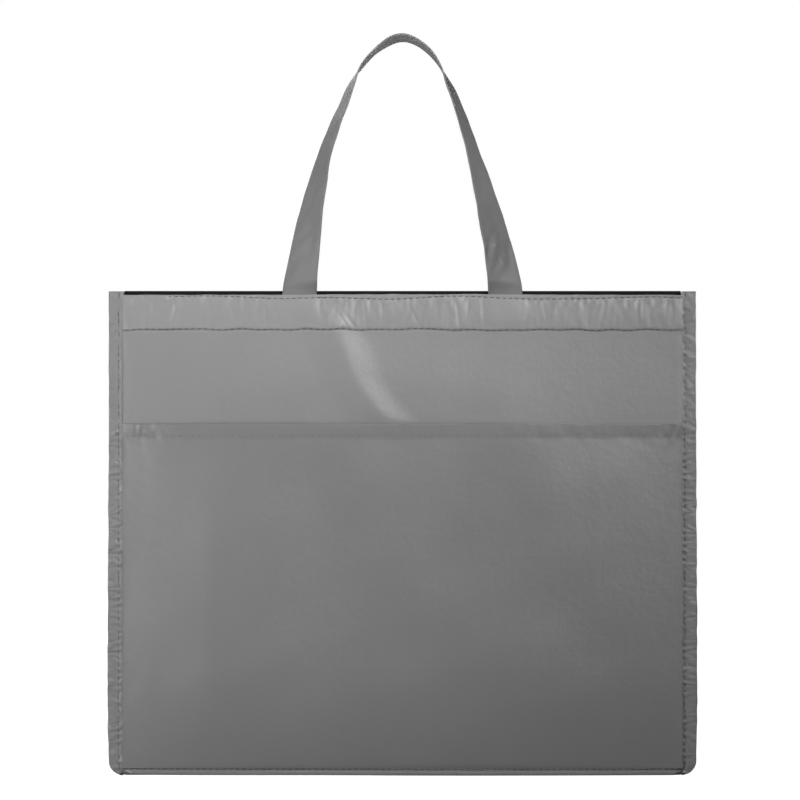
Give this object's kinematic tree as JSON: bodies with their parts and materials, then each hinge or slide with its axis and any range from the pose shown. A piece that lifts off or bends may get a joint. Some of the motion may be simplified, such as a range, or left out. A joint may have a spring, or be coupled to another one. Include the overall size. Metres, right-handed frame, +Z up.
{
  "type": "insulated zip-top tote",
  "caption": "Box-shaped soft insulated tote with a front slip pocket, bound side edges, two strap handles and two padded top flaps that close with a zip.",
  "frame": {"origin": "centre of the underside, on the floor, midway between the side bindings and between the front and back panels", "axes": "+Z up, front pocket faces -Y, +X to the right of someone facing the pocket"},
  "size_m": [0.41, 0.2098, 0.5198],
  "materials": {
    "outer_fabric": "satin laminated non-woven",
    "binding_tape": "satin folded tape, puckered by its stitching",
    "strap_fabric": "satin folded fabric strap",
    "black_fabric": "matt woven",
    "foil_lining": "metallised film on a thin fabric",
    "foam": "closed-cell foam",
    "board": "matt rigid sheet",
    "zip_tape": "ribbed woven tape",
    "zip_coil": "moulded monofilament coil",
    "slider_metal": "black enamel on die-cast zinc"
  },
  "bodies": {
    "bag": {"front_panel": "outer_fabric", "back_panel": "outer_fabric", "base_panel": "outer_fabric", "left_gusset": "outer_fabric", "right_gusset": "outer_fabric", "front_base_seam": "outer_fabric", "back_base_seam": "outer_fabric", "left_binding": "binding_tape", "right_binding": "binding_tape", "front_foam": "foam", "back_foam": "foam", "base_foam": "foam", "left_foam": "foam", "right_foam": "foam", "front_lining": "foil_lining", "back_lining": "foil_lining", "base_lining": "foil_lining", "left_lining": "foil_lining", "right_lining": "foil_lining", "front_pocket": "outer_fabric", "pocket_hem": "outer_fabric", "front_band": "outer_fabric", "back_band": "outer_fabric", "left_top_hem": "outer_fabric", "right_top_hem": "outer_fabric", "front_handle_ends": "strap_fabric", "back_handle_ends": "strap_fabric", "zip_end_tabs": "zip_tape"},
    "front_flap": {"front_flap_cover": "black_fabric", "front_flap_foam": "foam", "front_flap_lining": "foil_lining", "front_zip_tape": "zip_tape", "front_zip_coil": "zip_coil"},
    "back_flap": {"back_flap_cover": "black_fabric", "back_flap_foam": "foam", "back_flap_lining": "foil_lining", "back_zip_tape": "zip_tape", "back_zip_coil": "zip_coil"},
    "front_loop": {"front_handle": "strap_fabric"},
    "back_loop": {"back_handle": "strap_fabric"},
    "slider": {"zip_slider": "slider_metal"},
    "pull": {"zip_pull": "slider_metal"},
    "board": {"base_board": "board"}
  },
  "joints": [
    {"name": "front_flap_hinge", "type": "hinge", "parent": "bag", "child": "front_flap", "pos_m": [0, -0.071, 0.337], "axis": [1, 0, 0], "range_deg": [0, 75]},
    {"name": "back_flap_hinge", "type": "hinge", "parent": "bag", "child": "back_flap", "pos_m": [0, 0.071, 0.337], "axis": [-1, 0, 0], "range_deg": [0, 75]},
    {"name": "front_handle_swing", "type": "hinge", "parent": "bag", "child": "front_loop", "pos_m": [0, -0.0779, 0.3379], "axis": [1, 0, 0], "range_deg": [-20, 160]},
    {"name": "back_handle_swing", "type": "hinge", "parent": "bag", "child": "back_loop", "pos_m": [0, 0.0779, 0.3379], "axis": [-1, 0, 0], "range_deg": [-190, 0]},
    {"name": "zip_slide", "type": "slide", "parent": "bag", "child": "slider", "axis": [-1, 0, 0], "range_m": [0, 0.338]},
    {"name": "pull_swing", "type": "hinge", "parent": "slider", "child": "pull", "pos_m": [0.179, 0, 0.33729], "axis": [0, 1, 0], "range_deg": [0, 135]},
    {"name": "board_lift", "type": "slide", "parent": "bag", "child": "board", "axis": [0, 0, 1], "range_m": [0, 0.3]}
  ]
}
